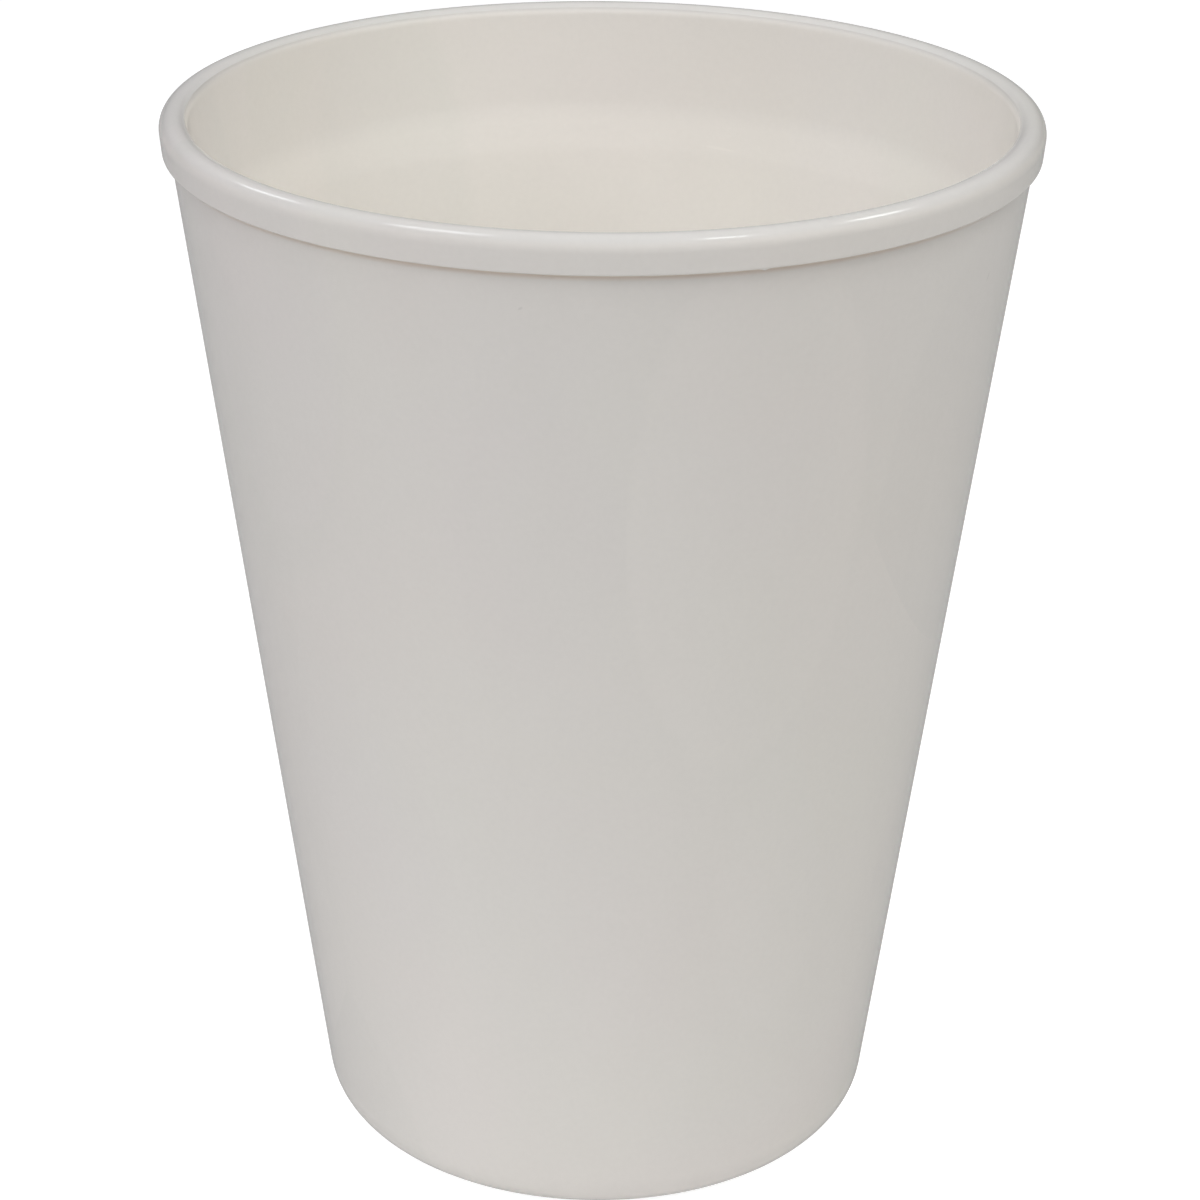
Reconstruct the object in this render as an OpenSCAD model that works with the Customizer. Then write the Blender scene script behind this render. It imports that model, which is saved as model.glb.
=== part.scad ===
// Reusable plastic cup, moulded in one piece: a tapered round wall on a rounded heel,
// with a flat collar and a fully rounded crown at the rim, and a shallow band inside on
// which a stacked cup comes to rest. Millimetres, +Z up.
// The origin is at the middle of the base, on the table.

/* [Body] */
// Height from the table to the crown of the rim
cup_h = 101.6; // [60:0.1:160]
// Outer diameter that the wall's slope would reach at the table
base_d = 52.6; // [36:0.1:70]
// Thickness of the wall above the stacking band, square to its slope
wall_t = 1.95; // [1.2:0.05:3]
// Thickness of the floor over the recess
floor_t = 2.4; // [1.2:0.1:4]
// Radius of the heel, between the wall and the foot
heel_r = 5; // [2:0.1:8]
// Radius inside, between the wall and the floor
floor_r = 3.4; // [1:0.1:8]

/* [Rim] */
// Largest outer diameter, at the collar
rim_d = 80; // [64:0.1:110]
// Height of the collar, from its lower edge to the crown
collar_h = 3.3; // [2.6:0.1:6]
// How far the collar's widest part stands out past the wall just under it
collar_step = 0.93; // [0.6:0.01:2]
// Degrees that the collar's face leans in, from its widest part to its lower edge
collar_lean = 5.5; // [1:0.5:9]
// Radius of the collar's lower edge
edge_r = 0.25; // [0.1:0.01:0.4]
// Radius of the crown's outer side
crown_r = 1.25; // [0.6:0.05:2]
// Radius of the crown's inner side
lip_r = 1.2; // [0.6:0.05:2]
// Radius of the fine raised mould line on the crown's inner side
line_r = 0.1; // [0.05:0.01:0.2]
// Degrees above level at which the mould line lies on that side
line_angle = 45; // [20:1:70]

/* [Stacking band] */
// Depth below the crown at which the band on the inner wall starts
band_d = 9.7; // [6:0.1:20]
// Height of the band, over which the wall thickens downwards
band_h = 4.65; // [2:0.05:10]
// How much thicker the wall is below the band, measured level
band_in = 0.25; // [0.1:0.05:0.6]

/* [Foot] */
// Width of the flat ring that the cup stands on
foot_w = 2.6; // [1:0.1:6]
// Depth of the recess inside that ring
recess_h = 0.8; // [0.6:0.1:2]
// Radius of the recess's rounded corner
recess_r = 0.6; // [0.1:0.05:0.7]
// Diameter of the moulding point's small round boss, in the recess
gate_d = 4; // [2:0.1:8]
// Height of that boss
gate_h = 0.3; // [0.1:0.05:0.5]

/* [Hidden] */
$fn = 128;
// Colour of the moulded plastic
plastic = [0.80, 0.78, 0.75];
// Each rounding's circle is this much larger than its corner's own, so that it crosses
// both sides of the corner and doesn't only touch them
hair = 0.0003;
// How far the two cutting outlines reach past the cup, above the rim and under the foot
past = 2;

rim_r = rim_d / 2;
base_r = base_d / 2;
// Height and wall radius at the collar's lower edge
collar_z = cup_h - collar_h;
shoulder_r = rim_r - collar_step;
// Angle that the wall leans out from upright
lean = atan((shoulder_r - base_r) / collar_z);
// Inner radius at a height of the wall above the band, with its slope carried on
function bore_x(z) = base_r + z * tan(lean) - wall_t / cos(lean);

// The crown's two radii shrink together where the rim is too narrow or too low for them
rim_w = rim_r - bore_x(cup_h);
crown_share = min(
    1,
    rim_w / (crown_r + lip_r * tan(45 - lean / 2)),
    collar_h / 2 / max(crown_r, lip_r));
crown_out = crown_r * crown_share;
crown_in = lip_r * crown_share;
// Middle of the crown's inner rounding
lip_z = cup_h - crown_in;
lip_x = bore_x(lip_z) + crown_in / cos(lean);
// Radius of the collar's face at a height, where it runs on smoothly from the crown
function collar_x(z) =
    rim_r - crown_out + crown_out / cos(collar_lean)
    + (z - cup_h + crown_out) * tan(collar_lean);

// Upper and lower edge of the stacking band
band_top = cup_h - band_d;
band_low = band_top - band_h;
// Upper face of the floor, inner edge of the ring that the cup stands on, and the boss
floor_z = recess_h + floor_t;
ring_x = base_r - heel_r * tan(45 - lean / 2) - foot_w;
gate_x = gate_d / 2;
gate_z = recess_h - gate_h;

// The three outlines below run counter-clockwise, as half-sections that are filled up to
// the axis. Each corner has its distance from the axis, its height and its rounding.
// The outside of the cup
outside = [
    [0, 0, 0],
    [base_r, 0, heel_r],
    [shoulder_r, collar_z, 0],
    [collar_x(collar_z), collar_z, edge_r],
    [collar_x(cup_h), cup_h, crown_out],
    [0, cup_h, 0]
];
// The hollow, with its mouth
hollow = [
    [0, floor_z, 0],
    [bore_x(floor_z) - band_in, floor_z, floor_r],
    [bore_x(band_low) - band_in, band_low, 0],
    [bore_x(band_top), band_top, 0],
    [bore_x(cup_h), cup_h, crown_in],
    [rim_r, cup_h, 0],
    [rim_r, cup_h + past, 0],
    [0, cup_h + past, 0]
];
// The shallow recess under the floor, round the boss
recess = [
    [0, -past, 0],
    [ring_x, -past, 0],
    [ring_x, recess_h, min(recess_r, recess_h)],
    [gate_x, recess_h, 0],
    [gate_x, gate_z, 0],
    [0, gate_z, 0]
];

// Corner i of an outline, with i counted round it, and the unit vector to the next one
function corner(line, i) = [for (k = [0, 1]) line[(i + len(line)) % len(line)][k]];
function way(line, i, step) =
    let(v = corner(line, i + step) - corner(line, i)) v / norm(v);
// Half of the angle at that corner, between its two sides
function half_angle(line, i) = acos(way(line, i, -1) * way(line, i, 1)) / 2;
// Whether it stands out, rather than being a hollow one
function stands_out(line, i) = cross(way(line, i, 1), way(line, i, -1)) > 0;
// Where the sides meet the corner's rounding, or the corner itself where it is sharp
function ends(line, i) =
    line[i].z == 0
    ? [corner(line, i)]
    : [for (step = [-1, 1])
        corner(line, i) + line[i].z / tan(half_angle(line, i)) * way(line, i, step)];
// The middle of the rounding's circle
function middle(line, i) =
    let(v = way(line, i, -1) + way(line, i, 1))
    corner(line, i) + line[i].z / sin(half_angle(line, i)) * v / norm(v);

// The circles at an outline's rounded corners, of those that stand out or of the others
module circles(line, outward) {
    for (i = [0:len(line) - 1])
        if (line[i].z > 0 && stands_out(line, i) == outward)
            translate(middle(line, i)) circle(r = line[i].z + hair);
}

// An outline with its corners rounded: each is cut off straight, then the circles are
// added at the corners that stand out and taken away at the hollow ones
module rounded(line) {
    difference() {
        polygon([for (i = [0:len(line) - 1]) each ends(line, i)]);
        circles(line, false);
    }
    circles(line, true);
}

// The fine raised line round the crown's inner side, where two parts of the mould met
module mould_line() {
    translate([lip_x, lip_z] + crown_in * [-cos(line_angle), sin(line_angle)])
        circle(r = line_r);
}

module cup() {
    color(plastic)
        rotate_extrude() {
            difference() {
                rounded(outside);
                rounded(hollow);
                rounded(recess);
            }
            mould_line();
        }
}

cup();
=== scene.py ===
"""Looks of a reusable plastic cup: one off-white moulded piece with a satin gloss, on a pale floor.

The cup is one surface of revolution. Its half-section is walked from the middle of the
underside, out over the foot, up the outside, over the crown, down the bore and in over
the floor, and each of its points is turned round the axis. Only a scrap of flash on the
collar's lower edge isn't round. Metres, +Z up, the front is -Y, and an azimuth is counted
from the front towards +X.
"""
import math

import bpy
import numpy as np
from mathutils import Matrix, Vector

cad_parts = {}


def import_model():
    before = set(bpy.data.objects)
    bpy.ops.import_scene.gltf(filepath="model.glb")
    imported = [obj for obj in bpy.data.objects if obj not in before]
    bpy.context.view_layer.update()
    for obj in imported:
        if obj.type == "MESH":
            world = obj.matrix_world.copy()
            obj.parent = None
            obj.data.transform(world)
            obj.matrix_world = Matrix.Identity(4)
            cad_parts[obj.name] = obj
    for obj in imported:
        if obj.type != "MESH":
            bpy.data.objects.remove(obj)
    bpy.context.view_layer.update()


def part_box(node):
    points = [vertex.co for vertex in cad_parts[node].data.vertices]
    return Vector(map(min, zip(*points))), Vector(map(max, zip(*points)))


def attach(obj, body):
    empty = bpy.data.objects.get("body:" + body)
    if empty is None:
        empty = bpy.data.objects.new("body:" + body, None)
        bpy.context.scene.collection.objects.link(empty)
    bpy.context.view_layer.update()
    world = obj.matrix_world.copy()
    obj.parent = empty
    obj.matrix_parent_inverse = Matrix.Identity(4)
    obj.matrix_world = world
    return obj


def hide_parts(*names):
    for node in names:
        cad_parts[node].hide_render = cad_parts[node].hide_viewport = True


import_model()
cup_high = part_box("cup")[1]

MM = 0.001

# The moulding's own sizes. Its height and its rim come from the frame.
CUP_H = cup_high.z
RIM_R = cup_high.x
BASE_R = 26.3 * MM
WALL_T = 1.95 * MM
FLOOR_T = 2.4 * MM
HEEL_R = 5 * MM
FLOOR_R = 3.4 * MM
COLLAR_H = 3.3 * MM
COLLAR_STEP = 0.93 * MM
COLLAR_LEAN = math.radians(5.5)
EDGE_R = 0.25 * MM
CROWN_R = 1.25 * MM
LIP_R = 1.2 * MM
FOOT_W = 2.6 * MM
RECESS_H = 0.8 * MM
RECESS_R = 0.6 * MM
GATE_R = 2 * MM
GATE_H = 0.3 * MM
# Small roundings of the corners that are sharp in the solid
SOFT_R = 0.08 * MM
# The stacking band of the inner wall: its depth below the crown, its height, how much
# thicker the wall is below it, and the soft roundings of its upper and lower edge
BAND_D = 9.7 * MM
BAND_H = 4.65 * MM
BAND_IN = 0.25 * MM
BAND_TOP_R = 9 * MM
BAND_LOW_R = 6 * MM
# The mould line on the crown's inner rounding: its height, half of its width, its angle
# above level, and the points across it
LINE_H = 0.05 * MM
LINE_W = 0.2 * MM
LINE_ANGLE = math.radians(45)
LINE_POINTS = 13
# The scrap of flash: its azimuth, half of its width, how far it hangs down, how far it
# fades up the collar's face and in along its ledge, and how far from the wall it starts
FLASH_AT = math.radians(19.5)
FLASH_W = 0.24 * MM
FLASH_H = 0.15 * MM
FLASH_UP = 0.25 * MM
FLASH_IN = 0.12 * MM
FLASH_CLEAR = 0.1 * MM

COLLAR_Z = CUP_H - COLLAR_H
SHOULDER_R = RIM_R - COLLAR_STEP
LEAN = math.atan((SHOULDER_R - BASE_R) / COLLAR_Z)
FLOOR_Z = RECESS_H + FLOOR_T
FOOT_R = BASE_R - HEEL_R * math.tan(math.radians(45) - LEAN / 2) - FOOT_W
BAND_TOP = CUP_H - BAND_D
BAND_LOW = BAND_TOP - BAND_H

# Columns of the grid round the cup, how far they are drawn towards the flash, and over
# how wide an angle on either side of it
COLUMNS = 400
PULL = math.radians(2.5)
PULL_W = math.radians(3)
# The longest step along the half-section, the turn from point to point of its roundings,
# and how near to a rounding a straight stretch has its last point, so that its shading
# stays straight
STEP = 5 * MM
ARC_STEP = math.radians(6)
NEAR = 0.06 * MM

# The plastic: linear colour outside, and inside with painted light for the light that bounces round
# the inside and shines through the wall; and roughness
OUTER_TONE = (0.762, 0.73, 0.69)
INNER_PAINTED_LIGHT_TONE = (0.875, 0.84, 0.79)
ROUGHNESS = 0.13
# Where the inside's painted light begins, measured outwards from the upper bore, and over what
# distance inwards it grows to its full share
INNER_FROM = 0.2 * MM
INNER_OVER = 0.3 * MM
# Painted shade on the thin crown, darker and a little bluer, and the depths below its top at which
# that ends and is full
CROWN_PAINTED_SHADE = (0.94, 0.952, 0.967)
CROWN_SHADE_FADE = (0.8 * MM, 0.25 * MM)
# The same for the painted brown shade in the corner under the collar, with distances from the
# corner
CORNER_PAINTED_SHADE = (0.95, 0.865, 0.79)
CORNER_SHADE_FADE = (0.75 * MM, 0.2 * MM)
# How much the cloudy tints change the colour, and how much they change the roughness
CLOUD_TINT = 0.03
CLOUD_DULL = 0.08
# Painted light and shade in overlapping oval patches: the scale and shift of each layer, how flat
# their pattern is drawn in height, the fade at their edges, their strength, and the share of their
# own hue
PAINTED_PATCHES = [
    (25, (0.31, 0.12, 0.07)),
    (30, (0.05, 0.43, 0.19)),
    (36, (0.22, 0.36, 0.51)),
]
PATCH_RISE = 0.45
PATCH_FADE = (0.44, 0.4)
PATCH_TINT = 0.04
PATCH_HUE = 0.2
# How much the flow streaks and the grain lighten and darken the plastic, and how fine
# the streaks' noise is across, both ways, and up the wall
STREAK_TINT = 0.03
GRAIN_TINT = 0.03
STREAK_FINE = (90, 90, 9)
# The scuffs: how fine their noise is, how far from its middle it still shows one, and how
# much they dull the gloss
SCUFF_FINE = (160, 160, 320)
SCUFF_W = 0.004
SCUFF_DULL = 0.03
# Height of the mould's own waves
WAVE_H = 0.004 * MM
# The small marks, on a chart of the wall with this radius: azimuth in degrees, height in
# millimetres, 0 for the outside or 1 for the inside, length and width in millimetres,
# tilt in degrees, and shade
CHART_R = 37.5 * MM
MARKS = [
    (-9.8, 95.0, 0, 0.4, 0.2, 35, -0.1),
    (61.6, 91.5, 0, 0.75, 0.15, 70, -0.12),
    (-157.8, 95.2, 1, 8.5, 0.2, 56, -0.02),
    (-160.1, 92.6, 1, 1.6, 0.3, 30, 0.03),
    (142.4, 95.7, 1, 1.5, 0.3, 75, 0.025),
    (160.6, 87.9, 1, 3.2, 0.25, 4, 0.03),
    (153.8, 88.4, 1, 0.8, 0.2, 60, 0.02),
]
# How thick the chart takes each side of the wall to be, and the fade at a mark's edge,
# in shares of its half length and width
SIDE_T = 0.2
MARK_FADE = (1.5, 0.5)

# How much bluer and less red the lamps in the gloss are, and how much less blue a lamp
# is that stands at the far right
COOL = 0.03
WARM = 0.05


def bore_r(z):
    """Inner radius of the wall: the outside's straight slope, less the wall's thickness."""
    return BASE_R + z * math.tan(LEAN) - WALL_T / math.cos(LEAN)


def collar_r(z):
    """Radius of the collar's leaning face, which runs on from the crown's widest point."""
    crown_z = CUP_H - CROWN_R
    start = RIM_R - CROWN_R + CROWN_R / math.cos(COLLAR_LEAN)
    return start + (z - crown_z) * math.tan(COLLAR_LEAN)


def unit(v):
    """The vector of length 1 in v's direction."""
    return v / np.linalg.norm(v)


def rounded(corners):
    """Points of an open outline whose corners are rounded: each corner gives the arc that
    is tangent to its two sides, one point for each ARC_STEP of turn, and the straight
    stretches between arcs get a point every STEP and one NEAR each of their ends."""
    places = np.array([c[:2] for c in corners])
    runs = [places[:1]]
    for i in range(1, len(corners) - 1):
        back, on = unit(places[i - 1] - places[i]), unit(places[i + 1] - places[i])
        half = math.acos(np.clip(back @ on, -1, 1)) / 2
        radius = corners[i][2]
        middle = places[i] + radius / math.sin(half) * unit(back + on)
        start = places[i] + radius / math.tan(half) * back - middle
        end = places[i] + radius / math.tan(half) * on - middle
        turn = math.pi - 2 * half
        t = np.linspace(0, 1, max(4, math.ceil(turn / ARC_STEP) + 1))[:, None]
        arc = (np.sin((1 - t) * turn) * start + np.sin(t * turn) * end) / math.sin(turn)
        runs.append(middle + arc)
    runs.append(places[-1:])
    line = [runs[0]]
    for run in runs[1:]:
        gap = np.linalg.norm(run[0] - line[-1][-1])
        t = np.linspace(0, 1, max(2, math.ceil(gap / STEP) + 1))
        if gap > 4 * NEAR:
            t = np.concatenate([t[:1], [NEAR / gap], t[1:-1], [1 - NEAR / gap], t[-1:]])
        line += [line[-1][-1] + t[1:, None] * (run[0] - line[-1][-1]), run[1:]]
    return np.concatenate(line)


def half_section():
    """The cup's outline on one side of its axis, as (radius, height), from the middle of
    the underside to the middle of the floor's upper face. The mould line is a low bell, a
    cosine wave's one hump, on the crown's inner rounding, and takes the place of the
    rounding's own points near it."""
    line = rounded([
        (0, RECESS_H - GATE_H, 0),
        (GATE_R, RECESS_H - GATE_H, SOFT_R),
        (GATE_R, RECESS_H, SOFT_R),
        (FOOT_R, RECESS_H, RECESS_R),
        (FOOT_R, 0, SOFT_R),
        (BASE_R, 0, HEEL_R),
        (SHOULDER_R, COLLAR_Z, SOFT_R),
        (collar_r(COLLAR_Z), COLLAR_Z, EDGE_R),
        (collar_r(CUP_H), CUP_H, CROWN_R),
        (bore_r(CUP_H), CUP_H, LIP_R),
        (bore_r(BAND_TOP), BAND_TOP, BAND_TOP_R),
        (bore_r(BAND_LOW) - BAND_IN, BAND_LOW, BAND_LOW_R),
        (bore_r(FLOOR_Z) - BAND_IN, FLOOR_Z, FLOOR_R),
        (0, FLOOR_Z, 0),
    ])
    lip_z = CUP_H - LIP_R
    middle = np.array([bore_r(lip_z) + LIP_R / math.cos(LEAN), lip_z])
    t = np.linspace(1, -1, LINE_POINTS)[:, None]
    angle = LINE_ANGLE + t * LINE_W / LIP_R
    out = np.concatenate([-np.cos(angle), np.sin(angle)], 1)
    bead = middle + (LIP_R + LINE_H * (1 + np.cos(math.pi * t)) / 2) * out
    off = np.linalg.norm(line - bead[LINE_POINTS // 2], axis=1)
    near = np.nonzero(off < 1.25 * LINE_W)[0]
    return np.concatenate([line[:near[0]], bead, line[near[-1] + 1:]])


def columns():
    """Azimuths of the grid's columns: even, but drawn together at the scrap of flash by a
    step of the hyperbolic tangent's form."""
    even = np.linspace(-math.pi, math.pi, COLUMNS, endpoint=False)
    azimuth = even * (1 + PULL / math.pi) - PULL * np.tanh(even / PULL_W)
    return FLASH_AT + azimuth


def flash(points):
    """Draws the collar's lower edge down at the scrap of flash, in a bell-shaped bulge
    that fades out up the collar's face and in along its ledge."""
    x, y, z = np.moveaxis(points, -1, 0)
    radius = np.hypot(x, y)
    along = (np.arctan2(x, -y) - FLASH_AT) * radius / FLASH_W
    up = (z - COLLAR_Z) / FLASH_UP
    across = (radius - collar_r(COLLAR_Z) + FLASH_IN) / FLASH_IN
    bell = np.exp(-along ** 2 - up ** 2 - across ** 2)
    points[..., 2] -= FLASH_H * np.where(radius > SHOULDER_R + FLASH_CLEAR, bell, 0)


def turned(name, line):
    """A closed surface of revolution: point (r, z) of the line and angle a give
    (r sin a, -r cos a, z). The line's two ends lie on the axis, and each is one vertex."""
    angles = columns()
    r, z = line[1:-1, 0][:, None], line[1:-1, 1][:, None]
    rings = np.stack([r * np.sin(angles), -r * np.cos(angles), z + 0 * angles], -1)
    flash(rings)
    ends = np.array([[0, 0, line[0, 1]], [0, 0, line[-1, 1]]])
    points = np.concatenate([rings.reshape(-1, 3), ends])
    rows = len(line) - 2
    row, column = np.meshgrid(np.arange(rows - 1), np.arange(COLUMNS), indexing="ij")
    following = (column + 1) % COLUMNS
    quads = np.stack([
        row * COLUMNS + column,
        row * COLUMNS + following,
        (row + 1) * COLUMNS + following,
        (row + 1) * COLUMNS + column,
    ], -1).reshape(-1, 4)
    around = np.arange(COLUMNS)
    after = (around + 1) % COLUMNS
    last = (rows - 1) * COLUMNS
    underside = np.stack([np.full(COLUMNS, rows * COLUMNS), after, around], -1)
    inside = np.stack([np.full(COLUMNS, rows * COLUMNS + 1), last + around, last + after], -1)
    mesh = bpy.data.meshes.new(name)
    mesh.from_pydata(points, [], [*quads.tolist(), *underside.tolist(), *inside.tolist()])
    mesh.shade_smooth()
    piece = bpy.data.objects.new(name, mesh)
    bpy.context.scene.collection.objects.link(piece)
    return piece


def joined(tree, kind, sockets, **settings):
    """Adds a node with its settings, gives each of its sockets a value or a link, and
    returns its outputs."""
    piece = tree.nodes.new(kind)
    for name, value in settings.items():
        setattr(piece, name, value)
    for socket, value in sockets.items():
        if isinstance(value, bpy.types.NodeSocket):
            tree.links.new(value, piece.inputs[socket])
        else:
            piece.inputs[socket].default_value = value
    return piece.outputs


def number(tree, operation, *values):
    """The result of an operation on numbers."""
    return joined(tree, "ShaderNodeMath", dict(enumerate(values)), operation=operation)[0]


def vector(tree, operation, *values):
    """The result of an operation on vectors or colours that gives another one."""
    return joined(tree, "ShaderNodeVectorMath", dict(enumerate(values)), operation=operation)[0]


def length(tree, value):
    """The length of a vector."""
    return joined(tree, "ShaderNodeVectorMath", {0: value}, operation="LENGTH")["Value"]


def scaled(tree, value, share):
    """A vector or colour times a number."""
    return joined(
        tree, "ShaderNodeVectorMath", {0: value, "Scale": share}, operation="SCALE")[0]


def blend(tree, share, start, end):
    """The colour that lies the share of the way from start to end."""
    return joined(tree, "ShaderNodeMix", {0: share, 6: start, 7: end}, data_type="RGBA")[2]


def fade(tree, value, start, end):
    """0 where the value is at start, rising in a soft curve to 1 at end."""
    return joined(
        tree, "ShaderNodeMapRange", {"Value": value, "From Min": start, "From Max": end},
        interpolation_type="SMOOTHSTEP")[0]


def radius_and_height(tree, place):
    """A point's distance from the cup's axis, and its height."""
    height = joined(tree, "ShaderNodeSeparateXYZ", {0: place})["Z"]
    return length(tree, vector(tree, "MULTIPLY", place, (1, 1, 0))), height


def inner_side(tree, place):
    """How much of the inside's painted light a point has: its distance in from a cone INNER_FROM
    outside the upper bore, over INNER_OVER. That is nothing on the outside and the crown, two
    thirds on the upper bore, and all of it below the stacking band, on the floor and on the
    underside."""
    radius, height = radius_and_height(tree, place)
    cone = number(tree, "MULTIPLY_ADD", height, math.tan(LEAN), bore_r(0) + INNER_FROM)
    past = number(tree, "SUBTRACT", cone, radius)
    return joined(
        tree, "ShaderNodeMapRange",
        {"Value": past, "From Min": 0, "From Max": INNER_OVER}, clamp=True)[0]


def collar_corner_shade(tree, place):
    """Where the painted brown shade lies: 1 in the corner where the wall meets the collar's ledge,
    fading out near it.
    """
    radius, height = radius_and_height(tree, place)
    spot = joined(tree, "ShaderNodeCombineXYZ", {0: radius, 1: height})[0]
    off = joined(
        tree, "ShaderNodeVectorMath", {0: spot, 1: (SHOULDER_R, COLLAR_Z, 0)},
        operation="DISTANCE")["Value"]
    return fade(tree, off, *CORNER_SHADE_FADE)


def crown(tree, place):
    """Where the crown's painted shade lies: 1 on the upper part of the crown, fading out down both
    of its sides.
    """
    height = joined(tree, "ShaderNodeSeparateXYZ", {0: place})["Z"]
    return fade(tree, height, *(CUP_H - depth for depth in CROWN_SHADE_FADE))


def painted_light_patches(tree, place, scale, shift):
    """A faint painted light and shade for each of many overlapping oval patches: 1 where there is
    none."""
    moved = vector(tree, "MULTIPLY_ADD", place, (1, 1, PATCH_RISE), shift)
    cells = joined(tree, "ShaderNodeTexVoronoi", {"Vector": moved, "Scale": scale})
    disc = fade(tree, cells["Distance"], *PATCH_FADE)
    level = joined(tree, "ShaderNodeSeparateColor", {0: cells["Color"]})["Red"]
    own = blend(tree, PATCH_HUE, level, cells["Color"])
    own = vector(tree, "SUBTRACT", own, (0.5, 0.5, 0.5))
    own = scaled(tree, own, number(tree, "MULTIPLY", disc, PATCH_TINT))
    return vector(tree, "ADD", own, (1, 1, 1))


def handling_marks(tree, place, inside):
    """Sum of the small marks' shades, each a soft tilted ellipse on a flat chart of the
    wall: distance round the cup, height, and side."""
    parts = joined(tree, "ShaderNodeSeparateXYZ", {0: place})
    back = number(tree, "MULTIPLY", parts["Y"], -1)
    azimuth = number(tree, "ARCTAN2", parts["X"], back)
    round_it = number(tree, "MULTIPLY", azimuth, CHART_R)
    chart = joined(
        tree, "ShaderNodeCombineXYZ", {0: round_it, 1: parts["Z"], 2: inside})[0]
    total = 0.0
    for turn, height, side, size, width, tilt, shade in MARKS:
        own = joined(tree, "ShaderNodeMapping", {
            "Vector": chart,
            "Location": (math.radians(turn) * CHART_R, height * MM, side),
            "Rotation": (0, 0, math.radians(tilt)),
            "Scale": (size * MM / 2, width * MM / 2, SIDE_T),
        }, vector_type="TEXTURE")[0]
        spot = fade(tree, length(tree, own), *MARK_FADE)
        total = number(tree, "MULTIPLY_ADD", spot, shade, total)
    return total


def plastic():
    """Warm off-white moulded plastic with a satin gloss: cloudy tints and faint flow streaks from
    the moulding, painted light and shade in oval patches, a paler and warmer inside that is painted
    light, painted shade that makes the crown darker and cooler, painted brown shade in the collar's
    corner, fine scuffs that dull the gloss, and a few small marks."""
    material = bpy.data.materials.new("off_white_plastic")
    material.use_nodes = True
    tree = material.node_tree
    shader = tree.nodes["Principled BSDF"]
    place = joined(tree, "ShaderNodeTexCoord", {})["Object"]
    inside = inner_side(tree, place)
    # the inside's paler, warmer tone is painted light for bounced and through-shining light
    tone = blend(tree, inside, (*OUTER_TONE, 1), (*INNER_PAINTED_LIGHT_TONE, 1))

    # cloudy tints, the painted light and shade of the oval patches, and the painted shade of the
    # crown and the collar's corner
    clouds = joined(tree, "ShaderNodeTexNoise", {
        "Vector": place, "Scale": 30, "Detail": 3, "Roughness": 0.45, "Distortion": 0.8})
    tints = [
        vector(
            tree, "MULTIPLY_ADD", clouds["Color"],
            [CLOUD_TINT] * 3, [1 - CLOUD_TINT / 2] * 3),
        blend(tree, collar_corner_shade(tree, place), (1, 1, 1, 1), (*CORNER_PAINTED_SHADE, 1)),
        blend(tree, crown(tree, place), (1, 1, 1, 1), (*CROWN_PAINTED_SHADE, 1)),
        *(painted_light_patches(tree, place, scale, shift) for scale, shift in PAINTED_PATCHES),
    ]
    for tint in tints:
        tone = vector(tree, "MULTIPLY", tone, tint)

    # flow streaks that run up the wall, a fine grain, and the small marks
    along = vector(tree, "MULTIPLY", place, STREAK_FINE)
    streaks = joined(tree, "ShaderNodeTexNoise", {
        "Vector": along, "Scale": 1, "Detail": 2, "Roughness": 0.5, "Distortion": 0.3})[0]
    grain = joined(tree, "ShaderNodeTexNoise", {
        "Vector": place, "Scale": 1800, "Detail": 1, "Roughness": 0.5})[0]
    shade = number(
        tree, "MULTIPLY_ADD", streaks, STREAK_TINT, 1 - (STREAK_TINT + GRAIN_TINT) / 2)
    shade = number(tree, "MULTIPLY_ADD", grain, GRAIN_TINT, shade)
    shade = number(tree, "ADD", shade, handling_marks(tree, place, inside))
    tree.links.new(scaled(tree, tone, shade), shader.inputs["Base Color"])

    # fine scuffs: thin bent lines where a stretched noise passes its middle
    across = vector(tree, "MULTIPLY", place, SCUFF_FINE)
    wander = joined(tree, "ShaderNodeTexNoise", {
        "Vector": across, "Scale": 1, "Detail": 1, "Roughness": 0.4, "Distortion": 1.4})[0]
    off = number(tree, "ABSOLUTE", number(tree, "SUBTRACT", wander, 0.5))
    scuff = joined(tree, "ShaderNodeMapRange", {
        "Value": off, "From Min": SCUFF_W, "From Max": 0, "To Min": 0, "To Max": SCUFF_DULL})[0]
    dull = number(tree, "MULTIPLY_ADD", clouds[0], CLOUD_DULL, ROUGHNESS - CLOUD_DULL / 2)
    tree.links.new(number(tree, "ADD", dull, scuff), shader.inputs["Roughness"])

    # the mould's own faint waviness
    wave = joined(tree, "ShaderNodeTexNoise", {
        "Vector": place, "Scale": 140, "Detail": 2, "Roughness": 0.5})[0]
    bump = joined(
        tree, "ShaderNodeBump", {"Strength": 1, "Distance": WAVE_H, "Height": wave})[0]
    tree.links.new(bump, shader.inputs["Normal"])
    shader.inputs["IOR"].default_value = 1.49
    return material


def camera():
    """The photograph's own view of the cup, in which its rim, collar and base lie as they
    do there. It looks ahead, down by its pitch and a little to one side by its turn, and
    is rolled about that direction. Radians."""
    data = bpy.data.cameras.new("camera")
    data.sensor_width = 36
    data.lens = 104.15
    piece = bpy.data.objects.new("camera", data)
    pitch, turn, roll = 0.410231, 0.000335, -0.008052
    ahead = Vector((
        math.sin(turn) * math.cos(pitch), math.cos(turn) * math.cos(pitch), -math.sin(pitch)))
    level = Vector((math.cos(turn), -math.sin(turn), 0))
    under = ahead.cross(level)
    right = math.cos(roll) * level + math.sin(roll) * under
    down = -math.sin(roll) * level + math.cos(roll) * under
    place = Vector((0, -0.30613, 0.18581))
    piece.matrix_world = Matrix.LocRotScale(
        place, Matrix((right, -down, -ahead)).transposed(), None)
    bpy.context.scene.collection.objects.link(piece)
    bpy.context.scene.camera = piece


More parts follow.
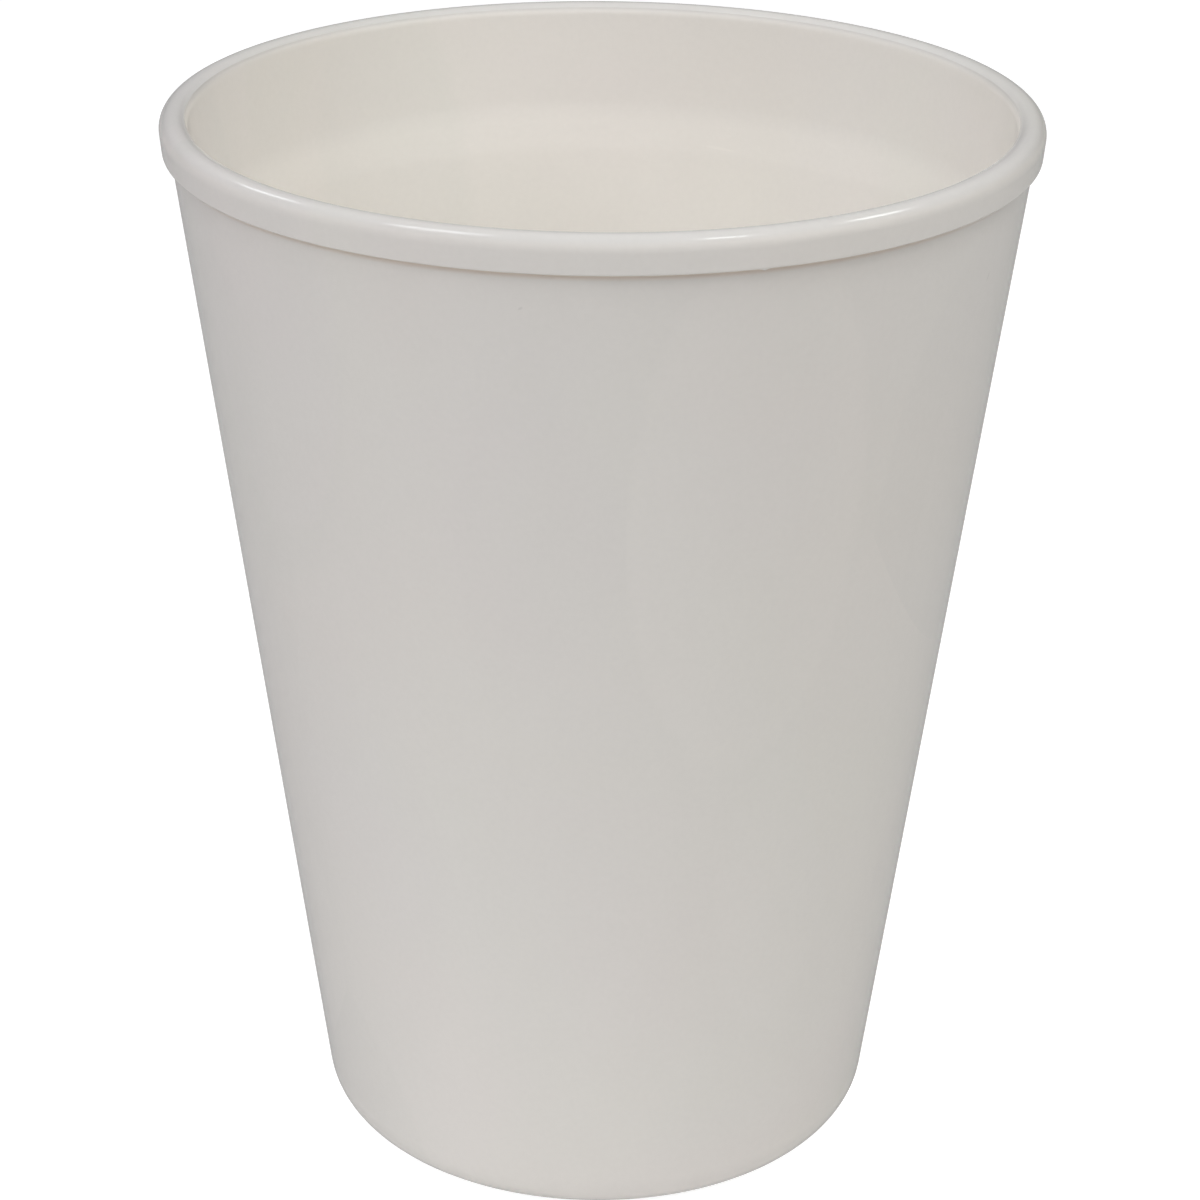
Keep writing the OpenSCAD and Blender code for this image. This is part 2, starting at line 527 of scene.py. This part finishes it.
def shown(tree, lit, mirrored, seen):
    """Joins three shaders: seen for the rays that come straight from the camera, mirrored
    for those that come by way of a gloss or through something clear, and lit for the
    rays that carry light."""
    path = joined(tree, "ShaderNodeLightPath", {})
    by_way = number(tree, "MAXIMUM", path["Is Glossy Ray"], path["Is Transmission Ray"])
    look = joined(tree, "ShaderNodeMixShader", {0: by_way, 1: lit, 2: mirrored})[0]
    return joined(
        tree, "ShaderNodeMixShader", {0: path["Is Camera Ray"], 1: look, 2: seen})[0]


def world():
    """A dark room: it gives no light, is nearly black in the gloss, and is plain white
    where it is seen past the floor."""
    scene = bpy.context.scene
    scene.world = bpy.data.worlds.new("studio")
    scene.world.use_nodes = True
    tree = scene.world.node_tree
    tree.nodes.remove(tree.nodes["Background"])
    looks = [
        joined(tree, "ShaderNodeBackground", {"Color": (1, 1, 1, 1), "Strength": strength})[0]
        for strength in (0.0, 0.1, 1.0)]
    tree.links.new(shown(tree, *looks), tree.nodes["World Output"].inputs["Surface"])


def floor():
    """A wide plain floor. Light falls back from it as from pale card; where it is seen it
    glows too, so that it is white, and still shows the cup's soft shadow, and farther off
    it glows a little more. The gloss shows it as a pale grey."""
    half = 6
    mesh = bpy.data.meshes.new("floor")
    mesh.from_pydata(
        [(-half, -half, 0), (half, -half, 0), (half, half, 0), (-half, half, 0)],
        [], [(0, 1, 2, 3)])
    piece = bpy.data.objects.new("floor", mesh)
    bpy.context.scene.collection.objects.link(piece)
    material = bpy.data.materials.new("pale_floor")
    material.use_nodes = True
    tree = material.node_tree
    tree.nodes.remove(tree.nodes["Principled BSDF"])
    away = length(tree, joined(tree, "ShaderNodeTexCoord", {})["Object"])
    bright = joined(tree, "ShaderNodeMapRange", {
        "Value": away, "From Min": 0.25, "From Max": 1, "To Min": 0.92, "To Max": 1})[0]
    looks = []
    for albedo, strength in ((0.85, 0.0), (0.15, 0.3), (0.3, bright)):
        card = joined(tree, "ShaderNodeBsdfDiffuse", {"Color": (albedo, albedo, albedo, 1)})[0]
        glow = joined(tree, "ShaderNodeEmission", {"Strength": strength})[0]
        looks.append(joined(tree, "ShaderNodeAddShader", {0: card, 1: glow})[0])
    tree.links.new(shown(tree, *looks), tree.nodes["Material Output"].inputs["Surface"])
    mesh.materials.append(material)


def softboxes():
    """Round lamps: small ones that also show in the gloss, soft fills that don't, and one
    that lies on the table round the cup like a light table and shines up. A lamp faces
    the point on the cup's axis at its height faced, from its azimuth and elevation. The
    farther to the right it stands, the warmer it is. Watts."""
    lamps = [
        # name, azimuth, elevation, distance, diameter, height faced, power, in the gloss
        ("left_lamp", 286, 64, 0.4, 0.13, 0.1, 0.2, True),
        ("low_left_lamp", 232, 42, 0.4, 0.08, 0.1, 0.07, True),
        ("right_lamp", 50, 63, 0.4, 0.06, 0.1, 0.1, True),
        ("low_right_lamp", 104, 50, 0.4, 0.08, 0.1, 0.13, True),
        ("front_softbox", 0, 40, 1, 0.8, 0.05, 2.1, False),
        ("left_softbox", 315, 40, 1, 0.8, 0.05, 3.15, False),
        ("upper_front_fill", 0, 60, 0.4, 0.3, 0.1, 0.14, False),
        ("upper_right_fill", 45, 60, 0.4, 0.3, 0.1, 0.33, False),
        ("right_fill", 82, 30, 0.4, 0.3, 0.1, 0.41, False),
        ("rear_fill", 225, 30, 0.4, 0.3, 0.1, 0.35, False),
        ("low_left_fill", 300, 8, 0.25, 0.1, 0.02, 0.016, False),
        ("table_light", 0, -90, 0, 0.32, 0.0005, 0.057, False),
    ]
    for name, azimuth, elevation, distance, size, height, power, shines in lamps:
        data = bpy.data.lights.new(name, "AREA")
        data.shape = "DISK"
        data.size = size
        data.energy = power
        turn, rise = math.radians(azimuth), math.radians(elevation)
        out = Vector((
            math.sin(turn) * math.cos(rise), -math.cos(turn) * math.cos(rise), math.sin(rise)))
        cool = COOL if shines else 0
        data.color = (1 - cool, 1, 1 + cool - WARM * out.x)
        lamp = bpy.data.objects.new(name, data)
        lamp.location = Vector((0, 0, height)) + distance * out
        lamp.rotation_euler = (-out).to_track_quat("-Z", "Y").to_euler()
        lamp.visible_camera = False
        lamp.visible_glossy = shines
        bpy.context.scene.collection.objects.link(lamp)


cup = turned("cup_shell", half_section())
cup.data.materials.append(plastic())
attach(cup, "root")
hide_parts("cup")

camera()
softboxes()
world()
floor()
bpy.context.scene.view_settings.view_transform = "Standard"
